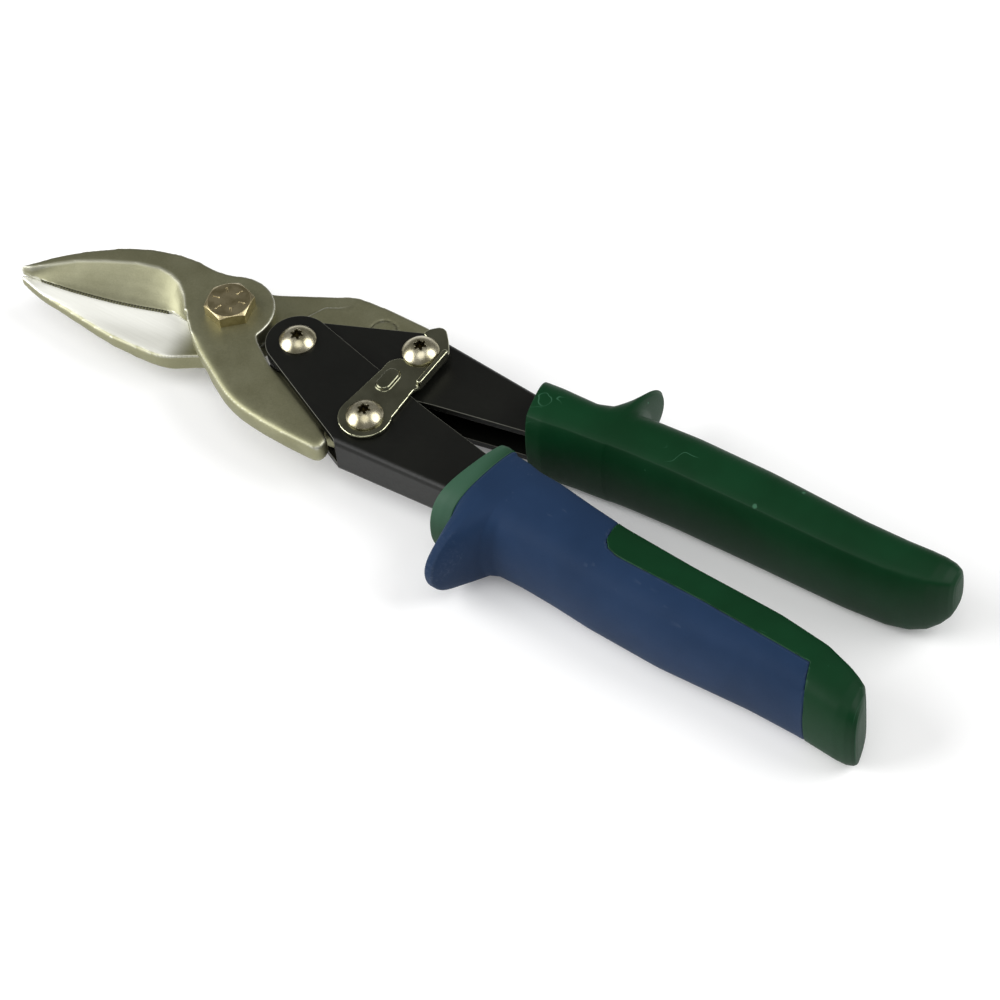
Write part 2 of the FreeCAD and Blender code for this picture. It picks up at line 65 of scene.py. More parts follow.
floorPlan = {
    "size": 6.0,
    "tone": (0.86, 0.86, 0.86, 1),
    "glow": 0.16,  # a light table, so that the shadows stay pale
    "roughness": 0.85,
    "speckTone": (0.9, 0.9, 0.9, 1),
    "speckShare": 0.02,
    "speckSize": 4.0,  # mm
}

lightPlan = {
    "world": (1.0, 1.0, 0.99, 1),
    "worldStrength": 0.24,
    "aim": (0.07, 0, 0),
    # name, place, size, watts
    "boxes": [
        ("leftBox", (-0.85, -0.75, 0.70), 1.25, 19.0),
        ("rightBox", (0.95, 0.60, 0.95), 1.05, 12.5),
        ("topBox", (0.30, -0.35, 1.50), 1.00, 5.0),
    ],
}


def placeCamera(plan):
    turn, lift, roll = (math.radians(plan[k]) for k in ("azimuth", "elevation", "roll"))
    level = math.cos(lift)
    back = Vector((math.sin(turn) * level, -math.cos(turn) * level, math.sin(lift)))
    right = Vector((math.cos(turn), math.sin(turn), 0))
    up = back.cross(right)
    rolledRight = right * math.cos(roll) + up * math.sin(roll)
    rolledUp = up * math.cos(roll) - right * math.sin(roll)
    data = bpy.data.cameras.new("studioCamera")
    data.lens = plan["lens"]
    data.sensor_width = plan["sensorWidth"]
    data.clip_start = plan["clipStart"]
    camera = bpy.data.objects.new("studioCamera", data)
    scene.collection.objects.link(camera)
    axes = Matrix((rolledRight, rolledUp, back)).transposed()
    place = Vector(plan["target"]) + back * plan["distance"]
    camera.matrix_world = Matrix.Translation(place) @ axes.to_4x4()
    scene.camera = camera


placeCamera(cameraPlan)
print("camera placed")


# shader helpers

class Signal:
    # one output socket, so that shader maths reads as ordinary maths
    def __init__(self, paint, socket):
        self.paint = paint
        self.socket = socket

    def maths(self, operation, *values):
        return self.paint.node("ShaderNodeMath", {"operation": operation},
                               dict(enumerate((self,) + values)))

    def __add__(self, other):
        return self.maths("ADD", other)

    __radd__ = __add__

    def __sub__(self, other):
        return self.maths("SUBTRACT", other)

    def __mul__(self, other):
        return self.maths("MULTIPLY", other)

    def __rsub__(self, other):
        return self.paint.node("ShaderNodeMath", {"operation": "SUBTRACT"}, {0: other, 1: self})

    def between(self, low, high):
        # 0 below low, 1 above high, smooth between
        return self.paint.node("ShaderNodeMapRange", {"interpolation_type": "SMOOTHSTEP"},
                               {"Value": self, "From Min": low, "From Max": high})


class Paint:
    # a material with one Principled shader: fixed inputs are given here, vary() links the rest
    def __init__(self, name, **fixed):
        self.material = bpy.data.materials.new(name)
        self.material.use_nodes = True
        self.tree = self.material.node_tree
        self.shader = self.tree.nodes["Principled BSDF"]
        for label, value in fixed.items():
            self.shader.inputs[label.replace("_", " ")].default_value = value

    def node(self, kind, settings=None, inputs=None, output=0):
        made = self.tree.nodes.new(kind)
        for label, value in (settings or {}).items():
            setattr(made, label, value)
        for label, value in (inputs or {}).items():
            self.feed(made.inputs[label], value)
        return Signal(self, made.outputs[output])

    def feed(self, socket, value):
        if isinstance(value, Signal):
            self.tree.links.new(value.socket, socket)
        elif isinstance(value, tuple) and len(value) == 3 and len(socket.default_value) == 4:
            socket.default_value = (*value, 1)  # a colour without its alpha
        else:
            socket.default_value = value

    def vary(self, **links):
        for label, value in links.items():
            self.feed(self.shader.inputs[label.replace("_", " ")], value)

    def place(self):
        return self.node("ShaderNodeTexCoord", output="Object")

    def stretched(self, scale, turn):
        return self.node("ShaderNodeMapping", {},
                         {"Vector": self.place(), "Scale": scale, "Rotation": turn})

    def noise(self, size, detail=3.0, rough=0.55, where=None):
        # size is the width of one blotch, in metres
        return self.node("ShaderNodeTexNoise", {},
                         {"Vector": where or self.place(), "Scale": 1 / size,
                          "Detail": detail, "Roughness": rough})

    def cells(self, size):
        return self.node("ShaderNodeTexVoronoi", {"feature": "F1"},
                         {"Vector": self.place(), "Scale": 1 / size})

    def mix(self, share, first, second):
        # inputs 6 and 7 and output 2 are the node's colour sockets
        return self.node("ShaderNodeMix", {"data_type": "RGBA"},
                         {0: share, 6: first, 7: second}, output=2)

    def measure(self, name):
        return self.node("ShaderNodeAttribute", {"attribute_name": name}, output="Fac")

    def bump(self, height, depth, strength):
        # depth in metres for a height that goes from 0 to 1
        self.vary(Normal=self.node("ShaderNodeBump", {},
                                   {"Height": height, "Distance": depth, "Strength": strength}))


# finishes

# each look holds its colours, the sizes of its blotches in mm and the depth of its relief in mm

forgedLook = {
    "dark": (0.235, 0.230, 0.135),
    "light": (0.330, 0.325, 0.210),
    # ground faces: ground finish, painted near white as their reflection
    "ground": (0.96, 0.96, 0.90),
    # painted shade in the stamped ring's groove and along the saw teeth
    "soot": (0.020, 0.020, 0.014),
    "blastSize": 0.35,
    "cloudSize": 9.0,
    "lineSize": 0.5,  # grinding lines
    "lineTurn": 0.3,  # radians
    # painted highlight on rounded edges and along the ridge
    "edgeShine": 0.42,
    "relief": 0.05,
}


def forgedSteel(look):
    paint = Paint("forgedSteel")
    ground = paint.measure("ground")
    edge = paint.measure("edge")
    soot = paint.measure("soot")
    blast = paint.noise(look["blastSize"] * mm, 2.0, 0.7)
    cloud = paint.noise(look["cloudSize"] * mm, 4.0)
    grain = paint.stretched((0.05, 1.0, 1.0), (0, 0, look["lineTurn"]))
    along = paint.noise(look["lineSize"] * mm, 3.0, 0.6, grain)
    body = paint.mix((cloud * 0.7 + blast * 0.4).between(0.25, 0.85), look["dark"], look["light"])
    # painted highlight and reflection: rounded edges, the ridge and the ground faces are painted
    # lighter, and the ground faces lose their metal so that this colour shows
    shine = (ground + edge * look["edgeShine"]).between(0.0, 0.95)
    withSheen = paint.mix(shine * (0.8 + along * 0.2), body, look["ground"])
    # painted shade darkens the stamped groove and the saw teeth
    paint.vary(Base_Color=paint.mix(soot * 0.9, withSheen, look["soot"]),
               Metallic=1.0 - ground * 0.80,
               Roughness=0.44 + blast * 0.12 - shine * 0.10 + (along - 0.5) * ground * 0.10)
    paint.bump(blast * (1.0 - ground * 0.75) + along * ground * 0.5, look["relief"] * mm, 0.6)
    return paint.material


blackLook = {
    "dark": (0.0018, 0.0020, 0.0010),
    "light": (0.0038, 0.0041, 0.0026),
    # edge colour: bare metal where the paint is worn, and painted highlight
    "wearAndHighlight": (0.20, 0.20, 0.165),
    "peelSize": 0.9,
    "cloudSize": 14.0,
    "rubSize": 1.2,
    "rubTurn": 0.35,  # radians
    "relief": 0.035,
}


def blackSteel(look):
    paint = Paint("blackSteel", Specular_IOR_Level=0.30)
    edge = paint.measure("edge")
    peel = paint.noise(look["peelSize"] * mm, 3.0)
    cloud = paint.noise(look["cloudSize"] * mm, 4.0)
    grain = paint.stretched((0.16, 1.0, 1.0), (0, 0, look["rubTurn"]))
    rub = paint.noise(look["rubSize"] * mm, 4.0, 0.7, grain)
    # rounded edges painted lighter: partly real paint wear, partly painted highlight
    worn = (edge * (0.55 + rub * 0.8)).between(0.42, 0.95)
    base = paint.mix(cloud.between(0.3, 0.75), look["dark"], look["light"])
    paint.vary(Base_Color=paint.mix(worn * 0.75, base, look["wearAndHighlight"]),
               Roughness=0.35 + peel * 0.12 + rub.between(0.55, 0.8) * 0.10)
    paint.bump(peel, look["relief"] * mm, 0.5)
    return paint.material


platedLooks = {
    # slot: material name, dark, light, roughness, speckle, blotch in mm, brightness of the painted
    # edge highlight
    "nickel_bolt": ("wornNickel", (0.27, 0.225, 0.115), (0.50, 0.43, 0.26), 0.24, 0.5, 3.5, 1.6),
    "bright_screw": ("brightNickel", (0.34, 0.31, 0.20), (0.58, 0.54, 0.40), 0.20, 0.35, 3.5, 1.6),
    "zinc_steel": ("zincPlate", (0.36, 0.35, 0.29), (0.52, 0.52, 0.45), 0.30, 0.3, 3.5, 1.6),
    "latch_steel": ("latchPlate", (0.15, 0.15, 0.10), (0.23, 0.23, 0.16), 0.16, 0.2, 9.0, 4.0),
    "spring_steel": ("springWire", (0.10, 0.10, 0.09), (0.22, 0.22, 0.20), 0.30, 0.3, 3.5, 1.6),
}

platingShared = {
    # painted shade in the screw recesses
    "soot": (0.035, 0.028, 0.012),
    "fineSize": 0.25,
    "pitSize": 1.1,
    "relief": 0.02,
    # cap on the colour of the painted edge highlight
    "brightest": 0.95,
}


def platedSteel(name, dark, light, roughness, speckle, blotch, edgeHighlight):
    shared = platingShared
    paint = Paint(name, Metallic=1.0)
    cloud = paint.noise(blotch * mm, 4.0)
    fine = paint.noise(shared["fineSize"] * mm, 3.0, 0.7)
    pits = paint.cells(shared["pitSize"] * mm).between(0.10, 0.22)
    edge = paint.measure("edge")
    worn = paint.mix(cloud.between(0.3, 0.7) * (1 - speckle + pits * speckle), dark, light)
    # painted highlight: rounded edges are painted lighter
    lit = paint.mix(edge * 0.75, worn, tuple(min(edgeHighlight * c, shared["brightest"]) for c in light))
    # painted shade darkens the screw recesses
    paint.vary(Base_Color=paint.mix(paint.measure("soot"), lit, shared["soot"]),
               Roughness=roughness + cloud * 0.08 + fine * 0.06)
    paint.bump(fine + pits * 0.4, shared["relief"] * mm, 0.5)
    return paint.material


greenLook = {
    "dark": (0.0006, 0.0245, 0.0062),
    "light": (0.0016, 0.0335, 0.0098),
    # painted sheen on the near core's collar
    "haze": (0.036, 0.090, 0.055),
    # for real nicks and scuffs, and painted highlight on rounded edges
    "worn": (0.048, 0.150, 0.085),
    "cloudSize": 18.0,
    "grainSize": 0.45,
    "nickSize": 9.0,
    "nickPatch": 3.0,
    "scuffSize": 5.0,
    "scuffPatch": 24.0,
    "scuffLevel": 0.47,  # the scuffs follow this level of their noise, like height lines on a map
    "relief": 0.05,
}


def hardGreen(look):
    paint = Paint("hardGreen", Specular_IOR_Level=0.14)
    edge = paint.measure("edge")
    cloud = paint.noise(look["cloudSize"] * mm, 3.0)
    grain = paint.noise(look["grainSize"] * mm, 3.0, 0.6)
    nickSpots = 1 - paint.cells(look["nickSize"] * mm).between(0.045, 0.10)
    nick = nickSpots * paint.noise(look["nickPatch"] * mm, 2.0).between(0.5, 0.6)
    rings = paint.noise(look["scuffSize"] * mm, 1.0, 0.3)
    offLevel = (rings - look["scuffLevel"]).maths("ABSOLUTE")
    scuffPatch = paint.noise(look["scuffPatch"] * mm, 2.0).between(0.58, 0.66)
    scuff = (1 - offLevel.between(0.004, 0.012)) * scuffPatch
    base = paint.mix(cloud.between(0.25, 0.75), look["dark"], look["light"])
    # rounded edges painted lighter as highlight, with real nicks and scuffs
    worn = (edge.between(0.25, 0.95) * 0.34 + nick * 0.65 + scuff * 0.5).between(0.0, 1.0)
    sheened = paint.mix(paint.measure("haze") * (0.75 + cloud * 0.3), base, look["haze"])
    paint.vary(Base_Color=paint.mix(worn, sheened, look["worn"]),
               Roughness=0.43 + grain * 0.14 + worn * 0.12)
    paint.bump(grain * 0.35 - nick * 2.0 - scuff * 0.8, look["relief"] * mm, 0.6)
    return paint.material


blueLook = {
    "dark": (0.0080, 0.0240, 0.0620),
    "light": (0.0120, 0.0320, 0.0800),
    # colour of real dust, also of painted highlight on rounded edges
    "dust": (0.090, 0.115, 0.165),
    "cloudSize": 22.0,
    "grainSize": 0.5,
    "dustSize": 0.9,
    "dustPatch": 30.0,
    "relief": 0.06,
}


def softBlue(look):
    paint = Paint("softBlue", Specular_IOR_Level=0.12, Sheen_Weight=0.03, Sheen_Roughness=0.5)
    edge = paint.measure("edge")
    cloud = paint.noise(look["cloudSize"] * mm, 3.0)
    grain = paint.noise(look["grainSize"] * mm, 4.0, 0.7)
    dustPatch = paint.noise(look["dustPatch"] * mm, 2.0).between(0.42, 0.7)
    dust = paint.noise(look["dustSize"] * mm, 4.0, 0.8) * dustPatch
    base = paint.mix(cloud.between(0.25, 0.75), look["dark"], look["light"])
    # real dust, and painted highlight on rounded edges
    dustAndHighlight = dust.between(0.38, 0.75) * 0.35 + edge * 0.15
    paint.vary(Base_Color=paint.mix(dustAndHighlight, base, look["dust"]), Roughness=0.56 + grain * 0.16)
    paint.bump(grain, look["relief"] * mm, 0.6)
    return paint.material


nylonLook = {
    "dark": (0.50, 0.50, 0.45),
    "light": (0.62, 0.62, 0.57),
    "grainSize": 0.6,
    "relief": 0.02,
}


def nylonWhite(look):
    paint = Paint("nylonWhite", IOR=1.5)
    grain = paint.noise(look["grainSize"] * mm, 3.0)
    paint.vary(Base_Color=paint.mix(grain, look["dark"], look["light"]),
               Roughness=0.45 + grain * 0.1)
    paint.bump(grain, look["relief"] * mm, 0.4)
    return paint.material


finish = {slotName: platedSteel(*look) for slotName, look in platedLooks.items()}
finish["forged_steel"] = forgedSteel(forgedLook)
finish["black_steel"] = blackSteel(blackLook)
finish["nylon"] = nylonWhite(nylonLook)
finish["green_plastic"] = hardGreen(greenLook)
finish["blue_soft"] = softBlue(blueLook)

for part in frame["record"]["subparts"]:
    node = nodes[part["node"]]
    node.data.materials.clear()
    node.data.materials.append(finish[part["material_slot"]])
print("finishes made")


# floor and lights

def asMesh(shape, name):
    data = bpy.data.meshes.new(name)
    shape.to_mesh(data)
    shape.free()
    return data


def layFloor(plan):
    shape = bmesh.new()
    bmesh.ops.create_grid(shape, x_segments=1, y_segments=1, size=plan["size"] / 2)
    data = asMesh(shape, "studioFloor")
    floor = bpy.data.objects.new("studioFloor", data)
    scene.collection.objects.link(floor)
    paint = Paint("floorPaper", Roughness=plan["roughness"], Emission_Strength=plan["glow"],
                  Emission_Color=(1, 1, 1, 1))
    speck = paint.noise(plan["speckSize"] * mm, 3.0)
    paint.vary(Base_Color=paint.mix(speck * plan["speckShare"], plan["tone"], plan["speckTone"]))
    data.materials.append(paint.material)


def lightStudio(plan):
    world = bpy.data.worlds.new("studioWorld")
    scene.world = world
    world.use_nodes = True
    sky = world.node_tree.nodes["Background"]
    sky.inputs["Color"].default_value = plan["world"]
    sky.inputs["Strength"].default_value = plan["worldStrength"]
    for name, place, size, watts in plan["boxes"]:
        data = bpy.data.lights.new(name, "AREA")
        data.shape = "DISK"
        data.size = size
        data.energy = watts
        lamp = bpy.data.objects.new(name, data)
        scene.collection.objects.link(lamp)
        facing = (Vector(plan["aim"]) - Vector(place)).to_track_quat("-Z", "Y")
        lamp.matrix_world = Matrix.Translation(place) @ facing.to_matrix().to_4x4()


layFloor(floorPlan)
lightStudio(lightPlan)
scene.view_settings.view_transform = "Standard"
print("studio lit")


# shared making steps

def newPiece(name, data, slotName, body):
    piece = bpy.data.objects.new(name, data)
    scene.collection.objects.link(piece)
    data.materials.clear()
    data.materials.append(finish[slotName])
    if body:
        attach(piece, body)
    return piece


def smoothShade(data):
    data.polygons.foreach_set("use_smooth", [True] * len(data.polygons))


def applied(shape, name, kind, **settings):
    # the mesh that one modifier makes of a bmesh
    data = asMesh(shape, name)
    carrier = bpy.data.objects.new(name, data)
    scene.collection.objects.link(carrier)
    modifier = carrier.modifiers.new(kind.title(), kind)
    for label, value in settings.items():
        setattr(modifier, label, value)
    graph = bpy.context.evaluated_depsgraph_get()
    made = bpy.data.meshes.new_from_object(carrier.evaluated_get(graph))
    bpy.data.objects.remove(carrier)
    bpy.data.meshes.remove(data)
    made.name = name
    return made


def triples(items, label):
    values = np.empty(len(items) * 3)
    items.foreach_get(label, values)
    return values.reshape(-1, 3)


def places(data):
    return triples(data.vertices, "co")


def normals(data):
    return triples(data.vertex_normals, "vector")


def edgeEnds(data):
    # the first and the second vertex of every edge
    pairs = np.empty(len(data.edges) * 2, int)
    data.edges.foreach_get("vertices", pairs)
    return pairs.reshape(-1, 2).T


def keepMeasure(data, name, values):
    layer = data.attributes.get(name) or data.attributes.new(name, "FLOAT", "POINT")
    layer.data.foreach_set("value", np.asarray(values, np.float32))


def step(values, low, high):
    # 0 below low, 1 above high, smooth between
    share = np.clip((values - low) / (high - low), 0, 1)
    return share * share * (3 - 2 * share)


def stepMm(values, band):
    # the same for a length in metres and a band (low, high) in mm
    return step(values, band[0] * mm, band[1] * mm)


def outwardCurve(data):
    # how sharply the surface bulges at each vertex, as 1 over the radius; negative in hollows
    co = places(data)
    out = normals(data)
    a, b = edgeEnds(data)
    gap = co[b] - co[a]
    tiny = 1e-12
    span = np.maximum((gap ** 2).sum(1), tiny)
    bulge = np.zeros(len(co))
    count = np.zeros(len(co))
    np.add.at(bulge, a, -2 * (gap * out[a]).sum(1) / span)
    np.add.at(bulge, b, 2 * (gap * out[b]).sum(1) / span)
    np.add.at(count, a, 1)
    np.add.at(count, b, 1)
    return bulge / np.maximum(count, 1)


def markEdges(data, radii, crest=0):
    # edge is 0 where the surface bulges with the first radius (mm) and 1 at the second
    soft, sharp = radii
    bulge = step(outwardCurve(data), 1 / (soft * mm), 1 / (sharp * mm))
    keepMeasure(data, "edge", np.maximum(bulge, crest))


def softened(data, weights, passes):
    # each pass moves every vertex halfway to the middle of its neighbours, by its weight
    co = places(data)
    total = np.zeros_like(co)
    a, b = edgeEnds(data)
    count = (np.bincount(a, minlength=len(co)) + np.bincount(b, minlength=len(co)))[:, None]
    for _ in range(passes):
        for axis in range(3):
            total[:, axis] = np.bincount(a, co[b, axis], len(co))
            total[:, axis] += np.bincount(b, co[a, axis], len(co))
        co += (total / np.maximum(count, 1) - co) * 0.5 * weights[:, None]
    data.vertices.foreach_set("co", co.ravel())
    data.update()


def asShape(data):
    shape = bmesh.new()
    shape.from_mesh(data)
    return shape


def cadCopy(name):
    shape = asShape(nodes[name].data)
    bmesh.ops.remove_doubles(shape, verts=shape.verts, dist=0.002 * mm)
    return shape


# stampings, screws and nuts: the CAD shape with real rounded edges

edgePlan = {
    # CAD node: piece name, slot, body, edge rounding in mm
    "near_handle_channel": ("nearHandleStamping", "black_steel", "near_handle", 0.28),
    "far_handle_channel": ("farHandleStamping", "black_steel", "far_handle", 0.28),
    "pivot_bolt": ("pivotBolt", "nickel_bolt", "upper_jaw_body", 0.20),
    "handle_pivot_screw": ("handlePivotScrew", "bright_screw", "near_handle", 0.10),
    "near_jaw_screw": ("nearJawScrew", "bright_screw", "near_handle", 0.10),
    "far_jaw_screw": ("farJawScrew", "bright_screw", "far_handle", 0.10),
    "pivot_nut": ("pivotNut", "zinc_steel", "upper_jaw_body", 0.15),
    "handle_pivot_nut": ("handlePivotNut", "zinc_steel", "near_handle", 0.12),
    "near_jaw_nut": ("nearJawNut", "zinc_steel", "near_handle", 0.12),
    "far_jaw_nut": ("farJawNut", "zinc_steel", "far_handle", 0.12),
}

roundingPlan = {
    "flat": 1.2,  # degrees: faces that meet flatter than this become one
    "sharp": 24,  # degrees: edges sharper than this are rounded
    "segments": 2,
}

recessPlan = {
    # painted shade: the six-lobe recess in a screw head is painted dark from lip to deep, mm below
    # the highest edge
    "radius": 1.8,
    "lip": 0.05,
    "deep": 0.7,
}


def paintRecessShade(data, plan):
    co = places(data)
    middle = (co.max(axis=0) + co.min(axis=0)) / 2
    offAxis = np.hypot(co[:, 0] - middle[0], co[:, 1] - middle[1])
    sunk = stepMm(co[:, 2].max() - co[:, 2], (plan["lip"], plan["deep"]))
    keepMeasure(data, "soot", sunk * (offAxis < plan["radius"] * mm))


def roundEdges(node, name, slotName, body, width):
    shape = cadCopy(node)
    bmesh.ops.dissolve_limit(shape, angle_limit=math.radians(roundingPlan["flat"]),
                             verts=shape.verts, edges=shape.edges)
    for face in shape.faces:
        face.smooth = True
    # edge marks the rounded faces, which the finishes paint lighter as highlight
    layer = shape.faces.layers.float.new("edge")
    sharp = math.radians(roundingPlan["sharp"])
    corners = [e for e in shape.edges if e.is_manifold and e.calc_face_angle(0) > sharp]
    made = bmesh.ops.bevel(shape, geom=corners, offset=width * mm, offset_type="OFFSET",
                           segments=roundingPlan["segments"], profile=0.5, affect="EDGES",
                           clamp_overlap=True, material=-1)
    for face in made["faces"]:
        face[layer] = 1.0
        face.smooth = True
    data = asMesh(shape, name)
    if slotName == "bright_screw":
        paintRecessShade(data, recessPlan)
    piece = newPiece(name, data, slotName, body)
    weights = piece.modifiers.new("flatFaces", "WEIGHTED_NORMAL")
    weights.keep_sharp = False
    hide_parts(node)


for node, plan in edgePlan.items():
    roundEdges(node, *plan)
print("stampings, screws and nuts rounded")


# latch: stamped, with edges rolled over and a bulged pip

latchPlan = {
    "grain": 0.2,  # mesh size, mm
    "passes": 6,
    "edgeRadii": (1.6, 0.4),  # mm: painted edge highlight begins, is brightest
}

latchData = applied(cadCopy("latch"), "latchHook", "REMESH", mode="VOXEL",
                    voxel_size=latchPlan["grain"] * mm)
softened(latchData, np.ones(len(latchData.vertices)), latchPlan["passes"])
markEdges(latchData, latchPlan["edgeRadii"])
smoothShade(latchData)
latchPiece = newPiece("latchHook", latchData, "latch_steel", "latch_body")
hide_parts("latch")
print("latch stamped", len(latchData.polygons))


# jaws: forged, so every edge is softly rounded, and ground where they cut

jawPlan = {
    "grain": 0.36,  # mesh size, mm
    "forgingPasses": 5,
    "sharpBand": (0.4, 1.3),  # mm from the cutting edge: stays sharp, fully softened
    "edgeRadii": (6.5, 1.3),  # mm: painted edge highlight begins, is brightest
    "upper": {
        "cut": [(-55.0, -15.6), (-42.0, -13.2), (-28.0, -10.2), (-14.6, -5.8)],
        "ridge": [(-57.0, -14.5), (-53.0, -13.3), (-48.0, -8.9), (-44.0, -5.8), (-38.0, -2.6),
                  (-30.0, 0.9), (-24.0, 2.2), (-20.0, 1.9), (-16.5, 0.6), (-13.2, -2.0),
                  (-10.4, -5.2)],
        # the outer side behind the pivot is rounded broadly; bands are (low, high) in mm
        "broadPasses": 64,
        "broadAlong": (-12.0, -6.0),
        "broadAcross": (10.0, 14.0),
        "broadSlope": 0.10,
        # painted sheen: the hollow wedge between the ridge and the cutting edge is painted a little
        # lighter
        "wedgeShine": 0.10,
        "wedgeRidge": (-0.2, 0.8),
        "wedgeAhead": (9.5, 12.5),
        "wedgeCut": (-2.0, 0.0),
        # painted highlight along the ridge itself
        "crestShine": 0.62,
        "crestWidth": (0.15, 0.8),
        "crestHeight": (13.0, 14.2),
    },
    "lower": {
        "cut": [(-55.0, -14.4), (-42.0, -10.2), (-28.0, -6.0), (-15.0, -2.2)],
        # the outer side of the blade is rounded broadly
        "broadPasses": 44,
        "broadFromCut": (4.5, 7.5),
        "broadAhead": (6.0, 12.0),
        # painted reflection: the ground shear face is painted bright, less so away from the cutting
        # edge, and painted darker at the tip as shade
        "shearBand": (0.1, 0.4),
        "shearFacing": (0.8, 0.95),
        "shearAhead": (1.0, 11.0),
        "dimFromCut": (6.0, 12.5),
        "dimShare": 0.28,
        "tipAhead": (46.0, 53.0),
        "tipShare": 0.35,
    },
    "shearHeight": 12.0,
    # ring stamped in the lower jaw's tail: centre, middle radius, half width, height of the surface
    "stamp": {"centre": (34.6, 16.0), "radius": 3.25, "half": 0.45, "height": 13.5,
              "below": 0.6, "keptMargin": 0.9, "shadeMargin": 0.3, "shadeDepth": (0.03, 0.20),
              "shadeShare": 0.75},
}


def farFrom(line, co):
    # distance in plan from each place to a line of (x, y) in mm
    best = np.full(len(co), 1e9)
    for start, end in zip(line, line[1:]):
        start, end = np.array(start) * mm, np.array(end) * mm
        along = end - start
        share = np.clip(((co[:, :2] - start) @ along) / (along @ along), 0, 1)
        best = np.minimum(best, np.linalg.norm(co[:, :2] - start - share[:, None] * along, axis=1))
    return best


def nearStamp(co, stamp, margin):
    # 1 on the stamped ring, 0 beyond the margin (mm) and below the stamped surface
    fromCentre = np.hypot(co[:, 0] - stamp["centre"][0] * mm, co[:, 1] - stamp["centre"][1] * mm)
    off = np.abs(fromCentre - stamp["radius"] * mm)
    onRing = 1 - stepMm(off, (stamp["half"], stamp["half"] + margin))
    return onRing * (co[:, 2] > (stamp["height"] - stamp["below"]) * mm)


def lineAt(line, x):
    # the y of a line of (x, y) in mm at each x
    points = np.array(line) * mm
    return np.interp(x, points[:, 0], points[:, 1])


def forgeJaw(node, name, plan, cut):
    # the jaw's mesh, and how blunt each vertex may become
    data = applied(cadCopy(node), name, "REMESH", mode="VOXEL", voxel_size=plan["grain"] * mm)
    co = places(data)
    offStamp = 1 - nearStamp(co, plan["stamp"], plan["stamp"]["keptMargin"])
    blunt = stepMm(farFrom(cut, co), plan["sharpBand"]) * offStamp
    softened(data, blunt, plan["forgingPasses"])
    return data, blunt


def finishUpper(data, blunt, plan, radii):
    co = places(data)
    across = -co[:, 1] + plan["broadSlope"] * co[:, 0]
    tailSide = stepMm(co[:, 0], plan["broadAlong"]) * stepMm(across, plan["broadAcross"])
    softened(data, tailSide * blunt, plan["broadPasses"])
    co = places(data)
    belowRidge = stepMm(lineAt(plan["ridge"], co[:, 0]) - co[:, 1], plan["wedgeRidge"])
    aboveCut = stepMm(co[:, 1] - lineAt(plan["cut"], co[:, 0]), plan["wedgeCut"])
    inWedge = belowRidge * stepMm(-co[:, 0], plan["wedgeAhead"]) * aboveCut
    keepMeasure(data, "ground", inWedge * plan["wedgeShine"])
    onRidge = 1 - stepMm(farFrom(plan["ridge"], co), plan["crestWidth"])
    crest = onRidge * stepMm(co[:, 2], plan["crestHeight"])
    markEdges(data, radii, crest * plan["crestShine"])
    smoothShade(data)


upperData, upperBlunt = forgeJaw("upper_jaw", "upperJaw", jawPlan, jawPlan["upper"]["cut"])
finishUpper(upperData, upperBlunt, jawPlan["upper"], jawPlan["edgeRadii"])
upperJaw = newPiece("upperJaw", upperData, "forged_steel", "upper_jaw_body")
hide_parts("upper_jaw")


teethPlan = {
    "start": -50.0,
    "end": -15.6,
    "pitch": 0.75,
    "proud": 0.13,  # how far the teeth stand out of the edge
    "valley": -0.05,
    "inset": 0.40,
    "low": 12.08,
    "high": 12.74,
    "reach": 0.45,  # how far along the blade its edge is looked for
    "evenOut": 4,  # points on each side that the traced edge is averaged over
    # painted shadow along the saw edge: the peaks take this share of it, the valleys all
    "peakShade": 0.15,
}


def cutTeeth(data, plan):
    # a fine saw edge along the upper blade, traced from the blade itself, and darkened with painted
    # shadow, the valleys fully
    co = places(data) / mm
    low = co[(co[:, 2] < plan["high"]) & (co[:, 1] < 0)]
    count = int((plan["end"] - plan["start"]) / plan["pitch"])
    xs = np.linspace(plan["start"], plan["end"], 2 * count + 1)
    ys = np.array([low[np.abs(low[:, 0] - x) < plan["reach"], 1].min() for x in xs])
    span = 2 * plan["evenOut"] + 1
    ys = np.convolve(np.pad(ys, plan["evenOut"], mode="edge"), np.ones(span) / span, mode="valid")
    shape = bmesh.new()
    soot = shape.verts.layers.float.new("soot")
    bmesh.ops.create_grid(shape, x_segments=2 * count, y_segments=1, size=1.0)
    for vert in shape.verts:
        order = round((vert.co.x + 1) * count)
        peak = order % 2
        proud = plan["proud"] if peak else plan["valley"]
        y = ys[order] - proud if vert.co.y < 0 else ys[order] + plan["inset"]
        vert[soot] = plan["peakShade"] if peak else 1.0
        vert.co = Vector((xs[order], y, plan["low"])) * mm
    top = bmesh.ops.extrude_face_region(shape, geom=list(shape.faces))["geom"]
    bmesh.ops.translate(shape, vec=(0, 0, (plan["high"] - plan["low"]) * mm),
                        verts=[g for g in top if isinstance(g, bmesh.types.BMVert)])
    bmesh.ops.recalc_face_normals(shape, faces=shape.faces)
    return asMesh(shape, "upperTeeth")


newPiece("upperTeeth", cutTeeth(upperData, teethPlan), "forged_steel", "upper_jaw_body")


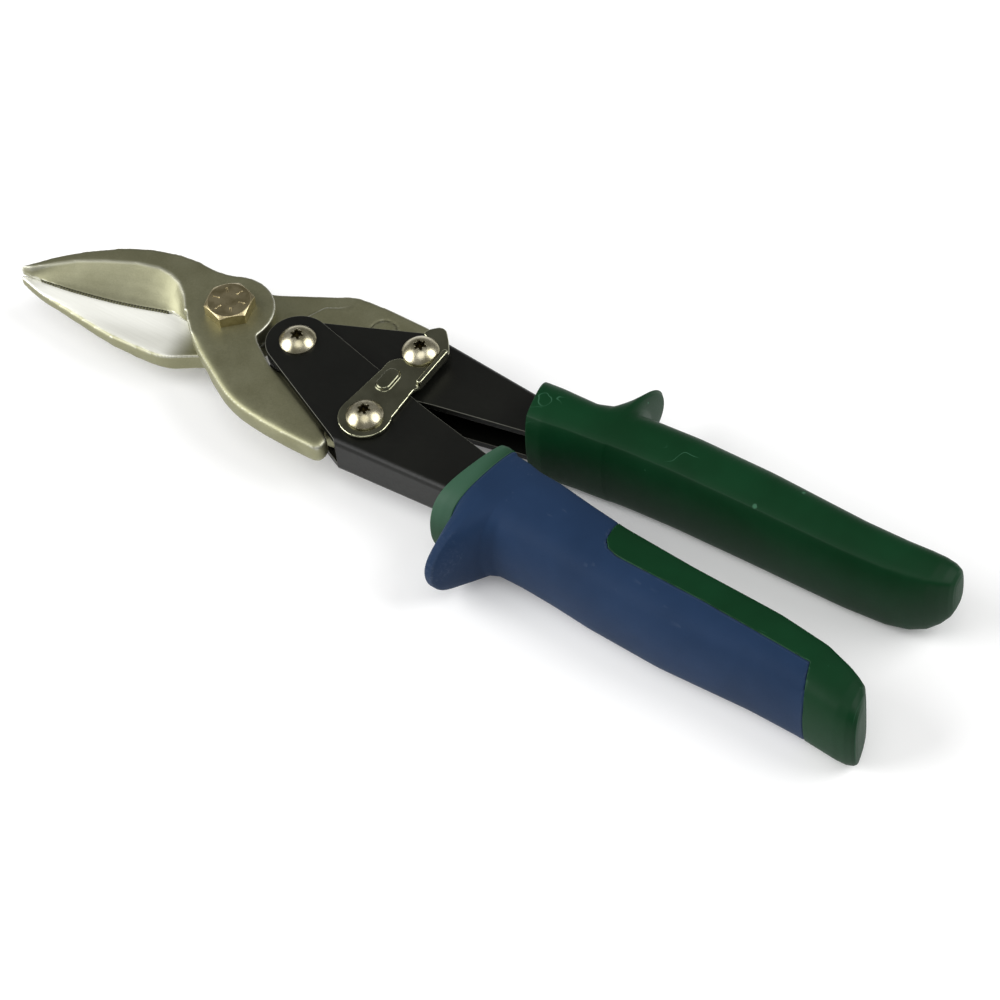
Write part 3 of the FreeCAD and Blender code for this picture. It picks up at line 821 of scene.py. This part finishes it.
def finishLower(data, blunt, plan, shared):
    stamp = shared["stamp"]
    co = places(data)
    outerSide = stepMm(farFrom(plan["cut"], co), plan["broadFromCut"])
    outerSide *= stepMm(-co[:, 0], plan["broadAhead"])
    softened(data, outerSide * blunt, plan["broadPasses"])
    co = places(data)
    offShear = stepMm(np.abs(co[:, 2] - shared["shearHeight"] * mm), plan["shearBand"])
    onShear = (1 - offShear) * step(normals(data)[:, 2], *plan["shearFacing"])
    reflectionLevel = 1 - plan["dimShare"] * stepMm(farFrom(plan["cut"], co), plan["dimFromCut"])
    reflectionLevel -= plan["tipShare"] * stepMm(-co[:, 0], plan["tipAhead"])
    keepMeasure(data, "ground", onShear * reflectionLevel * stepMm(-co[:, 0], plan["shearAhead"]))
    markEdges(data, shared["edgeRadii"])
    # painted shade in the stamped ring's groove
    sunk = stepMm(stamp["height"] * mm - co[:, 2], stamp["shadeDepth"])
    inGroove = nearStamp(co, stamp, stamp["shadeMargin"]) * sunk
    keepMeasure(data, "soot", inGroove * stamp["shadeShare"])
    smoothShade(data)


lowerData, lowerBlunt = forgeJaw("lower_jaw", "lowerJaw", jawPlan, jawPlan["lower"]["cut"])
finishLower(lowerData, lowerBlunt, jawPlan["lower"], jawPlan)
lowerJaw = newPiece("lowerJaw", lowerData, "forged_steel", "lower_jaw_body")
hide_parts("lower_jaw")
print("jaws forged", len(upperData.polygons), len(lowerData.polygons))


# grips: a ring of points carried along the handle, then subdivided

nearGrip = {
    # across 0 is the side by the other handle, 1 the palm side; up 0 is the bottom, 1 the top
    "ring": [(0.0, 0.52), (0.0, 0.80), (0.035, 0.95), (0.20, 0.995), (0.46, 1.0), (0.70, 0.985),
             (0.88, 0.90), (0.975, 0.70), (1.0, 0.50), (0.99, 0.28), (0.92, 0.09), (0.70, 0.0),
             (0.42, 0.0), (0.18, 0.01), (0.05, 0.09), (0.0, 0.28)],
    # how much of the guard each of those points takes
    "guardShare": [0, 0, 0, 0.0, 0.08, 0.30, 0.74, 0.98, 1.0, 0.92, 0.60, 0.15, 0.03, 0, 0, 0],
    # along, lean of the front, inner side, outer side, bottom, top, guard
    "stations": [(81.9, 6.0, 3.8, 26.8, 1.6, 22.8, 0), (82.1, 6.0, 3.3, 27.8, 0.5, 23.7, 0),
                 (84.3, 5.0, 3.3, 28.1, 0.1, 24.1, 0), (87.2, 3.4, 3.7, 28.0, 0, 24.1, 0.2),
                 (88.6, 2.4, 4.5, 27.6, 0, 24.1, 7.4), (90.2, 1.8, 4.6, 27.6, 0, 24.1, 12.8),
                 (92.0, 1.2, 4.8, 27.5, 0, 24.1, 13.0), (93.6, 0.8, 5.0, 27.4, 0, 24.1, 7.6),
                 (94.9, 0.4, 5.3, 27.4, 0, 24.1, 1.8), (97.0, 0, 5.8, 27.3, 0, 24.1, 0),
                 (103.5, 0, 6.3, 27.3, 0, 24.1, 0), (113.0, 0, 7.9, 27.9, 0, 24.1, 0),
                 (123.5, 0, 9.4, 29.0, 0, 24.1, 0), (143.5, 0, 10.9, 30.0, 0, 24.1, 0),
                 (167.5, 0, 11.9, 29.1, 0.1, 24.0, 0), (181.0, 0, 13.6, 29.4, 0.2, 23.8, 0),
                 (188.0, 0, 15.8, 30.0, 0.4, 23.3, 0), (191.2, -0.8, 17.0, 30.3, 0.5, 22.9, 0),
                 (193.7, -1.4, 18.2, 30.2, 0.8, 22.3, 0), (195.1, -2.0, 19.8, 29.7, 1.5, 21.4, 0),
                 (195.7, -2.4, 21.0, 29.2, 2.4, 20.3, 0)],
    "guardSweep": 0.24,
    "ridge": {2: 0.30},
    "rim": 0.6,
    "rimInset": 0.9,
    "dome": [(1.4, 0.22), (1.3, 0.06)],  # inset, rise
    "side": -1,
}

farGrip = {
    "ring": [(0.0, 0.50), (0.035, 0.74), (0.10, 0.895), (0.145, 0.950), (0.22, 0.972), (0.40, 0.99),
             (0.62, 1.0), (0.82, 0.955), (0.945, 0.83), (0.995, 0.66), (1.0, 0.50), (0.995, 0.34),
             (0.94, 0.16), (0.80, 0.03), (0.58, 0.0), (0.32, 0.0), (0.10, 0.04), (0.02, 0.22)],
    "guardShare": [0, 0, 0, 0, 0, 0.0, 0.03, 0.26, 0.68, 0.95, 1.0, 0.92, 0.45, 0.08, 0, 0, 0, 0],
    "stations": [(83.2, 3.4, 4.4, 18.8, 2.0, 22.2, 0), (83.4, 3.4, 3.5, 19.8, 0.6, 23.6, 0),
                 (88.0, 2.4, 3.5, 20.0, 0, 24.1, 0), (94.0, 1.0, 4.5, 20.0, 0, 24.1, 0),
                 (97.0, 0.3, 4.9, 20.0, 0, 24.1, 0.1), (100.6, 0, 5.2, 20.4, 0, 24.1, 2.4),
                 (102.9, 0, 5.4, 20.9, 0, 24.1, 8.4), (104.3, 0, 5.5, 21.2, 0, 24.1, 13.2),
                 (105.4, 0, 5.6, 21.5, 0, 24.1, 11.8), (106.3, 0, 5.8, 21.8, 0, 24.1, 4.6),
                 (107.9, 0, 6.0, 22.2, 0, 24.1, 0.7),
                 (112.0, 0, 6.3, 23.0, 0, 24.1, 0), (123.5, 0, 6.9, 23.8, 0, 24.1, 0),
                 (143.5, 0, 7.3, 23.9, 0, 24.1, 0), (169.5, 0, 7.6, 22.6, 0.2, 24.1, 0),
                 (181.0, 0, 8.4, 22.8, 0.4, 23.9, 0), (186.6, 0, 9.4, 23.2, 1.4, 23.6, 0),
                 (190.6, 0.2, 10.6, 23.2, 3.4, 23.2, 0), (193.2, 0.4, 12.2, 22.8, 5.8, 22.5, 0),
                 (194.9, 0.6, 13.9, 22.0, 8.2, 21.6, 0), (195.5, 0.7, 15.0, 21.2, 10.0, 20.7, 0)],
    "guardSweep": 0.0,
    "ridge": {3: 0.55},
    "rim": 0.6,
    "rimInset": 0.9,
    "dome": [(1.0, 0.25), (1.0, 0.08)],
    "side": 1,
}

gripPlan = {
    "subdivisions": 3,
    "edgeRadii": (4.0, 1.0),  # mm: painted edge highlight begins, is brightest
    "ridgeEnd": 190.0,  # the creased ridges fade out before this
    "ridgeFade": 12.0,
}


def gripMesh(name, plan):
    shape = bmesh.new()
    index = shape.verts.layers.int.new("index")
    crease = shape.edges.layers.float.new("crease_edge")
    count = len(plan["ring"])
    made = bmesh.ops.create_circle(shape, cap_ends=False, segments=count, radius=0.01)
    loop = made["verts"]  # shapeRing puts them in their places
    for order, vert in enumerate(loop):
        vert[index] = order

    def shapeRing(ring, station):
        along, lean, inner, outer, low, high, guard = station
        for vert in ring:
            across, up = plan["ring"][vert[index]]
            bump = guard * plan["guardShare"][vert[index]]
            x = along + lean * (0.5 - across) - bump * plan["guardSweep"]
            y = inner + (outer - inner) * across + bump
            z = low + (high - low) * up
            vert.co = Vector((x, plan["side"] * y, z)) * mm

    shapeRing(loop, plan["stations"][0])
    edges = list(shape.edges)
    frontFace = bmesh.ops.contextual_create(shape, geom=edges)["faces"]
    for number, station in enumerate(plan["stations"][1:], 1):
        made = bmesh.ops.extrude_edge_only(shape, edges=edges)["geom"]
        loop = [g for g in made if isinstance(g, bmesh.types.BMVert)]
        edges = [g for g in made if isinstance(g, bmesh.types.BMEdge)
                 and g.verts[0][index] != g.verts[1][index]]
        shapeRing(loop, station)
        if number == 1:
            for edge in edges:
                edge[crease] = plan["rim"]
    endFace = bmesh.ops.contextual_create(shape, geom=edges)["faces"]
    bmesh.ops.inset_region(shape, faces=frontFace, thickness=plan["rimInset"] * mm,
                           use_even_offset=True)
    for width, rise in plan["dome"]:
        bmesh.ops.inset_region(shape, faces=endFace, thickness=width * mm, use_even_offset=True)
        bmesh.ops.translate(shape, vec=(rise * mm, 0, 0), verts=endFace[0].verts)
    for edge in shape.edges:
        a, b = edge.verts
        if a[index] == b[index] and a[index] in plan["ridge"] and len(edge.link_faces) == 2:
            toEnd = gripPlan["ridgeEnd"] * mm - max(a.co.x, b.co.x)
            fade = min(max(toEnd / (gripPlan["ridgeFade"] * mm), 0), 1)
            edge[crease] = plan["ridge"][a[index]] * fade
    bmesh.ops.recalc_face_normals(shape, faces=shape.faces)
    return applied(shape, name, "SUBSURF", levels=gripPlan["subdivisions"],
                   render_levels=gripPlan["subdivisions"])


farData = gripMesh("farGripBody", farGrip)
markEdges(farData, gripPlan["edgeRadii"])
smoothShade(farData)
farPiece = newPiece("farGripBody", farData, "green_plastic", "far_handle")
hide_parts("far_grip")
print("far grip made", len(farData.polygons))


# near grip: a hard core with a soft cover let into it

coverPlan = {
    # outline in plan, mm, seen from above; the cover lies inside it
    "outline": [(88.7, -2.0), (84.9, -27.0), (80.0, -46.0), (183.4, -46.0), (183.2, -29.0),
                (180.4, -21.2), (150.0, -19.4), (126.8, -18.9), (124.0, -18.0), (122.3, -16.0),
                (121.6, -12.0), (121.2, -2.0)],
    "clearOfGrip": (-40.0, -5.0),  # sides of the outline beyond these y don't meet the grip
    "groove": 0.10,
    "step": 0.35,
    "sink": 1.1,
    "wall": 1.4,
    "rimDrop": 0.22,
    "rimWidth": 0.7,
    "sheenAlong": (84.0, 91.0),  # painted sheen: the core's collar is painted paler in front of this
    "sheenFacing": (-0.2, 0.5),
}


def insideOutline(outline, co):
    # signed distance in plan to the outline, positive inside
    gap = farFrom(outline + outline[:1], co)
    inside = np.zeros(len(co), bool)
    points = np.array(outline) * mm
    x, y = co[:, 0], co[:, 1]
    for (ax, ay), (bx, by) in zip(points, np.roll(points, -1, axis=0)):
        crosses = (ay > y) != (by > y)
        if ay != by:
            inside ^= crosses & (x < (bx - ax) * (y - ay) / (by - ay) + ax)
    return np.where(inside, gap, -gap)


def cutAlong(shape, outline, offsets):
    # cuts the mesh along each side of the outline, and along lines beside it
    middle = np.mean(np.array(outline), axis=0)
    palmSide, innerSide = coverPlan["clearOfGrip"]
    for start, end in zip(outline, outline[1:] + outline[:1]):
        if max(start[1], end[1]) < palmSide or min(start[1], end[1]) > innerSide:
            continue
        along = Vector((end[0] - start[0], end[1] - start[1], 0)).normalized()
        across = Vector((-along.y, along.x, 0))
        if across.dot(Vector((middle[0] - start[0], middle[1] - start[1], 0))) < 0:
            across.negate()
        for offset in offsets:
            place = (Vector((start[0], start[1], 0)) + across * offset) * mm
            everything = list(shape.verts) + list(shape.edges) + list(shape.faces)
            bmesh.ops.bisect_plane(shape, geom=everything, dist=0.001 * mm,
                                   plane_co=place, plane_no=across)


wholeData = gripMesh("nearGripWhole", nearGrip)

core = asShape(wholeData)
cutAlong(core, coverPlan["outline"], (0.0, coverPlan["step"]))
coreData = asMesh(core, "nearGripCore")
co, out = places(coreData), normals(coreData)
depth = insideOutline(coverPlan["outline"], co)
betweenCuts = (0.01, coverPlan["step"] * 0.98)  # just inside the two cut lines
sink = stepMm(depth, betweenCuts) * coverPlan["sink"] * mm
coreData.vertices.foreach_set("co", (co - out * sink[:, None]).ravel())
coreData.update()
markEdges(coreData, gripPlan["edgeRadii"])
# painted sheen on the collar's upward faces
collar = 1 - stepMm(co[:, 0], coverPlan["sheenAlong"])
keepMeasure(coreData, "haze", collar * step(out[:, 2], *coverPlan["sheenFacing"]))
smoothShade(coreData)
nearCore = newPiece("nearGripCore", coreData, "green_plastic", "near_handle")
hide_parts("near_grip_core")

cover = asShape(wholeData)
cutAlong(cover, coverPlan["outline"], (coverPlan["groove"], coverPlan["rimWidth"]))
middles = np.array([face.calc_center_median() for face in cover.faces])
outside = insideOutline(coverPlan["outline"], middles) < coverPlan["groove"] * mm
spare = [face for face, away in zip(cover.faces, outside) if away]
bmesh.ops.delete(cover, geom=spare, context="FACES")
coverData = asMesh(cover, "coverSkin")
co, out = places(coverData), normals(coverData)
depth = insideOutline(coverPlan["outline"], co) / mm
drop = (1 - step(depth, coverPlan["groove"], coverPlan["rimWidth"])) * coverPlan["rimDrop"] * mm
coverData.vertices.foreach_set("co", (co - out * drop[:, None]).ravel())
markEdges(coverData, gripPlan["edgeRadii"])
coverShell = applied(asShape(coverData), "nearGripCover", "SOLIDIFY",
                     thickness=coverPlan["wall"] * mm, offset=-1.0, use_rim=True)
bpy.data.meshes.remove(coverData)
bpy.data.meshes.remove(wholeData)
smoothShade(coverShell)
nearCover = newPiece("nearGripCover", coverShell, "blue_soft", "near_handle")
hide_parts("near_grip_cover")
print("near grip made", len(coreData.polygons), len(coverShell.polygons))


# return spring: wire wound round the handle pivot, with two legs

springPlan = {
    "wire": 1.3,
    "coilRadius": 4.7,
    "turns": 2.5,
    "steps": 32,  # per turn
    "sides": 14,  # of the wire
    "low": 9.35,
    "high": 12.75,
    "leg": 16.0,
    "centre": (20.7, 0.0),
}


def drawOn(shape, edges, shift):
    # draws a ring of edges out by the shift, in metres, and gives the new ring
    made = bmesh.ops.extrude_edge_only(shape, edges=edges)["geom"]
    points = [g for g in made if isinstance(g, bmesh.types.BMVert)]
    bmesh.ops.translate(shape, vec=shift, verts=points)
    lines = [g for g in made if isinstance(g, bmesh.types.BMEdge)]
    return points, [line for line in lines if all(v in points for v in line.verts)]


def windSpring(plan):
    shape = bmesh.new()
    x, y = plan["centre"]
    leg = plan["leg"] * mm
    bmesh.ops.create_circle(shape, cap_ends=False, segments=plan["sides"],
                            radius=plan["wire"] / 2 * mm)
    bmesh.ops.rotate(shape, cent=(0, 0, 0), matrix=Matrix.Rotation(math.pi / 2, 3, "Y"),
                     verts=shape.verts)
    start = Vector((x + plan["leg"], y - plan["coilRadius"], plan["low"])) * mm
    bmesh.ops.translate(shape, vec=start, verts=shape.verts)
    edges = list(shape.edges)
    bmesh.ops.contextual_create(shape, geom=edges)
    points, edges = drawOn(shape, edges, (-leg, 0, 0))
    steps = int(plan["steps"] * plan["turns"])
    rise = (plan["high"] - plan["low"]) * mm / steps
    wound = bmesh.ops.spin(shape, geom=points + edges, cent=(x * mm, y * mm, 0), axis=(0, 0, 1),
                           dvec=(0, 0, rise), angle=-2 * math.pi * plan["turns"], steps=steps)
    edges = [g for g in wound["geom_last"] if isinstance(g, bmesh.types.BMEdge)]
    points, edges = drawOn(shape, edges, (leg, 0, 0))
    bmesh.ops.contextual_create(shape, geom=edges)
    bmesh.ops.remove_doubles(shape, verts=shape.verts, dist=0.001 * mm)
    bmesh.ops.recalc_face_normals(shape, faces=shape.faces)
    data = asMesh(shape, "returnSpring")
    smoothShade(data)
    return data


spring = newPiece("returnSpring", windSpring(springPlan), "spring_steel", None)
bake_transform(spring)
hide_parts("opening_spring")
print("spring wound")
